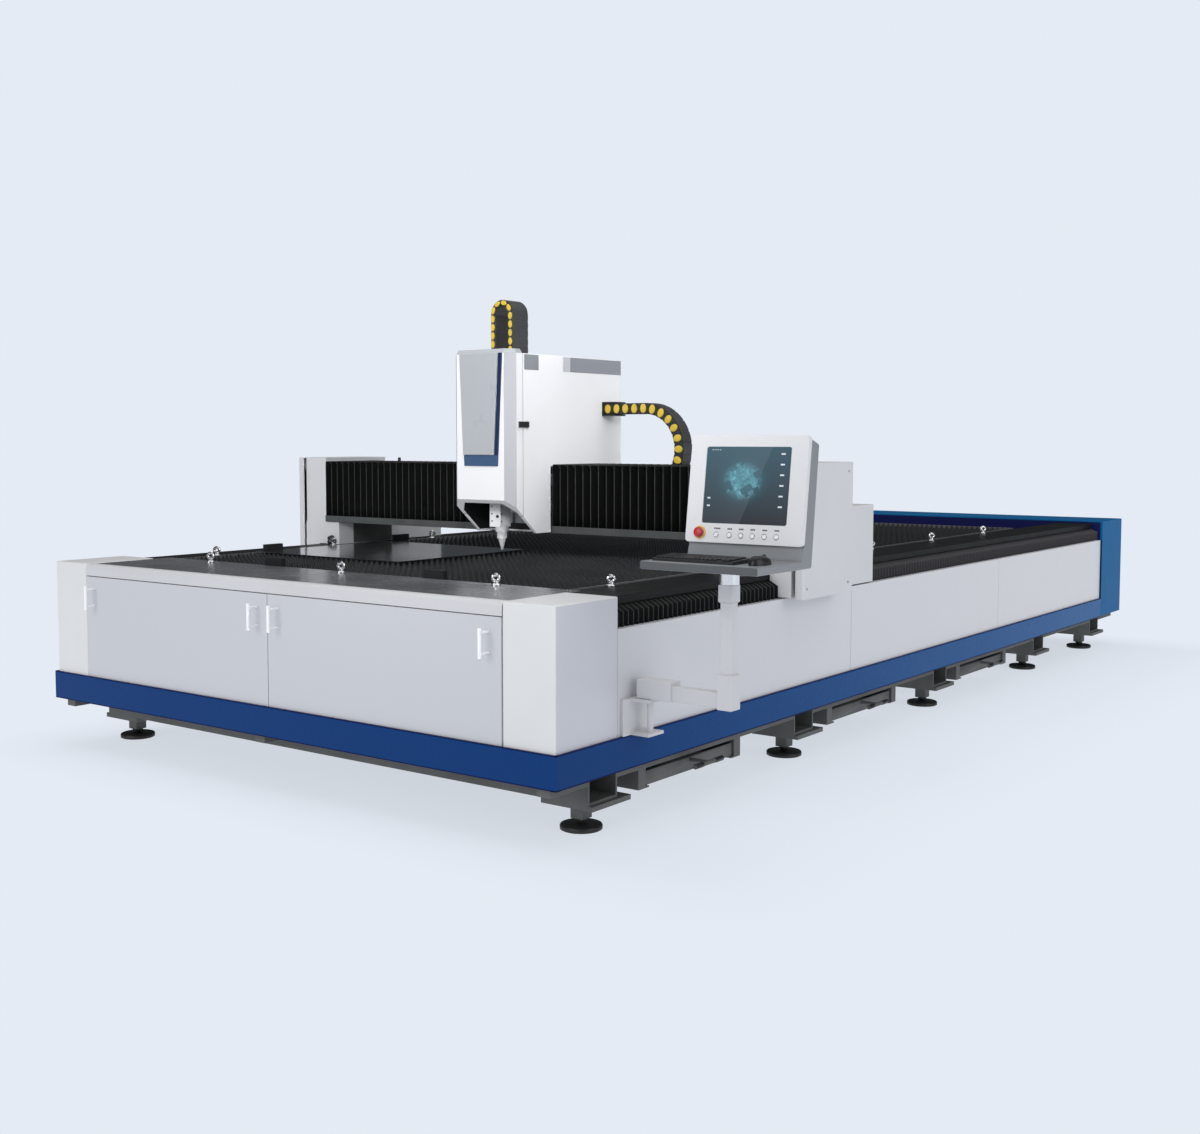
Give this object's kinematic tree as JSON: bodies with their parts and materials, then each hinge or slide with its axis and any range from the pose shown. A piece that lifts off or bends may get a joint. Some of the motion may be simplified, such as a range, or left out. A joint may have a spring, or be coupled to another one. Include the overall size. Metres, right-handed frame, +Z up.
{
  "type": "gantry laser cutting machine",
  "caption": "Open-bed laser cutter for sheet metal: a bellows-covered gantry and head travel over a slatted table, with drawers below and a swinging operator console.",
  "frame": {"origin": "on the floor, at the middle of the whole machine's outline", "axes": "+X across the bed towards the console, +Y along the bed from its front end to its rear end, +Z up"},
  "size_m": [3.786, 6.482, 2.1039],
  "materials": {
    "panel": "satin light grey powder coat",
    "casing_white": "satin white powder coat",
    "skirt_blue": "satin dark blue powder coat",
    "rear_blue": "satin blue powder coat",
    "frame_grey": "matt dark grey paint",
    "dark_plate": "semi-gloss dark grey paint",
    "feet_black": "black oxide",
    "slat_steel": "cut mild steel edges",
    "sheet_steel": "bright cold-rolled surface",
    "bellows_black": "coated folded cloth",
    "guide_steel": "ground",
    "black_plastic": "fine texture",
    "chrome": "polished",
    "copper": "turned copper",
    "fascia_grey": "satin mid grey",
    "console_grey": "satin grey powder coat",
    "screen_glass": "glossy display",
    "stop_red": "moulded",
    "button_white": "moulded",
    "chain_black": "moulded nylon",
    "drive_grey": "cast and anodised"
  },
  "bodies": {
    "bed": {"bed_frame": "frame_grey", "levelling_feet": "feet_black", "skirt": "skirt_blue", "rear_end_panel": "rear_blue", "corner_posts": "casing_white", "front_top_rail": "casing_white", "front_top_plate": "dark_plate", "side_panels": "panel", "guide_covers": "dark_plate", "y_guide_rails": "guide_steel", "table_frame": "slat_steel", "support_slats": "slat_steel", "eye_bolts": "chrome", "stop_blocks": "black_plastic", "work_sheet": "sheet_steel", "y_bellows_front": "bellows_black", "y_bellows_rear": "bellows_black", "wall_bracket": "casing_white"},
    "gantry": {"gantry_beam": "frame_grey", "gantry_legs": "casing_white", "gantry_end_covers": "casing_white", "gantry_trays": "casing_white", "x_guide_rails": "guide_steel", "x_bellows_left": "bellows_black", "x_bellows_right": "bellows_black", "y_carriages": "guide_steel", "y_drives": "drive_grey"},
    "head_carriage": {"head_housing": "casing_white", "chain_brackets": "frame_grey", "x_chain": "chain_black", "x_carriage": "guide_steel", "z_drive": "drive_grey", "z_chain": "chain_black"},
    "head_lid": {"head_front_cover": "casing_white", "head_fascia": "fascia_grey", "head_blue_trim": "skirt_blue"},
    "head_catch": {"head_latch": "black_plastic"},
    "cutting_head": {"cutting_head": "chrome", "nozzle": "copper"},
    "front_drawer_left": {"front_drawer_left": "panel", "front_handles_left": "casing_white"},
    "front_drawer_right": {"front_drawer_right": "panel", "front_handles_right": "casing_white"},
    "scrap_drawer_1": {"scrap_drawer_1": "frame_grey"},
    "scrap_drawer_2": {"scrap_drawer_2": "frame_grey"},
    "scrap_drawer_3": {"scrap_drawer_3": "frame_grey"},
    "console_arm": {"console_arm": "casing_white"},
    "console": {"swivel_collar": "chrome", "console_housing": "console_grey", "console_bezel": "casing_white", "console_screen": "screen_glass", "keyboard": "black_plastic", "mouse": "black_plastic"},
    "emergency_stop": {"emergency_stop": "stop_red"},
    "button_1": {"push_button_1": "button_white"},
    "button_2": {"push_button_2": "button_white"},
    "button_3": {"push_button_3": "button_white"},
    "button_4": {"push_button_4": "button_white"},
    "button_5": {"push_button_5": "button_white"},
    "button_6": {"push_button_6": "button_white"}
  },
  "joints": [
    {"name": "gantry_travel", "type": "slide", "parent": "bed", "child": "gantry", "axis": [0, 1, 0], "range_m": [-0.825, 3.175], "deforming": ["y_bellows_front", "y_bellows_rear"]},
    {"name": "head_travel", "type": "slide", "parent": "gantry", "child": "head_carriage", "axis": [1, 0, 0], "range_m": [-1.02, 0.98], "deforming": ["x_bellows_left", "x_bellows_right", "x_chain"]},
    {"name": "nozzle_lift", "type": "slide", "parent": "head_carriage", "child": "cutting_head", "axis": [0, 0, 1], "range_m": [-0.025, 0.125], "deforming": ["z_chain"]},
    {"name": "head_lid_hinge", "type": "hinge", "parent": "head_carriage", "child": "head_lid", "pos_m": [-0.4608, -1.828, 1.49], "axis": [0, 0, -1], "range_deg": [0, 95]},
    {"name": "head_catch_hinge", "type": "hinge", "parent": "head_carriage", "child": "head_catch", "pos_m": [-0.0732, -1.798, 1.507], "axis": [0, 0, 1], "range_deg": [0, 90]},
    {"name": "front_drawer_left_slide", "type": "slide", "parent": "bed", "child": "front_drawer_left", "axis": [0, -1, 0], "range_m": [0, 0.7]},
    {"name": "front_drawer_right_slide", "type": "slide", "parent": "bed", "child": "front_drawer_right", "axis": [0, -1, 0], "range_m": [0, 0.7]},
    {"name": "scrap_drawer_1_slide", "type": "slide", "parent": "bed", "child": "scrap_drawer_1", "axis": [1, 0, 0], "range_m": [0, 1]},
    {"name": "scrap_drawer_2_slide", "type": "slide", "parent": "bed", "child": "scrap_drawer_2", "axis": [1, 0, 0], "range_m": [0, 1]},
    {"name": "scrap_drawer_3_slide", "type": "slide", "parent": "bed", "child": "scrap_drawer_3", "axis": [1, 0, 0], "range_m": [0, 1]},
    {"name": "console_arm_swing", "type": "hinge", "parent": "bed", "child": "console_arm", "pos_m": [1.252, -2.709, 0.52], "axis": [0, 0, 1], "range_deg": [-45, 30]},
    {"name": "console_swivel", "type": "hinge", "parent": "console_arm", "child": "console", "pos_m": [1.587, -2.709, 0.96], "axis": [0, 0, 1], "range_deg": [-60, 60]},
    {"name": "emergency_stop_press", "type": "slide", "parent": "console", "child": "emergency_stop", "axis": [0, 0.9914, -0.1305], "range_m": [0, 0.005]},
    {"name": "button_1_press", "type": "slide", "parent": "console", "child": "button_1", "axis": [0, 0.9914, -0.1305], "range_m": [0, 0.003], "stiffness_N_per_m": 600, "springref_m": -0.0005},
    {"name": "button_2_press", "type": "slide", "parent": "console", "child": "button_2", "axis": [0, 0.9914, -0.1305], "range_m": [0, 0.003], "stiffness_N_per_m": 600, "springref_m": -0.0005},
    {"name": "button_3_press", "type": "slide", "parent": "console", "child": "button_3", "axis": [0, 0.9914, -0.1305], "range_m": [0, 0.003], "stiffness_N_per_m": 600, "springref_m": -0.0005},
    {"name": "button_4_press", "type": "slide", "parent": "console", "child": "button_4", "axis": [0, 0.9914, -0.1305], "range_m": [0, 0.003], "stiffness_N_per_m": 600, "springref_m": -0.0005},
    {"name": "button_5_press", "type": "slide", "parent": "console", "child": "button_5", "axis": [0, 0.9914, -0.1305], "range_m": [0, 0.003], "stiffness_N_per_m": 600, "springref_m": -0.0005},
    {"name": "button_6_press", "type": "slide", "parent": "console", "child": "button_6", "axis": [0, 0.9914, -0.1305], "range_m": [0, 0.003], "stiffness_N_per_m": 600, "springref_m": -0.0005}
  ]
}
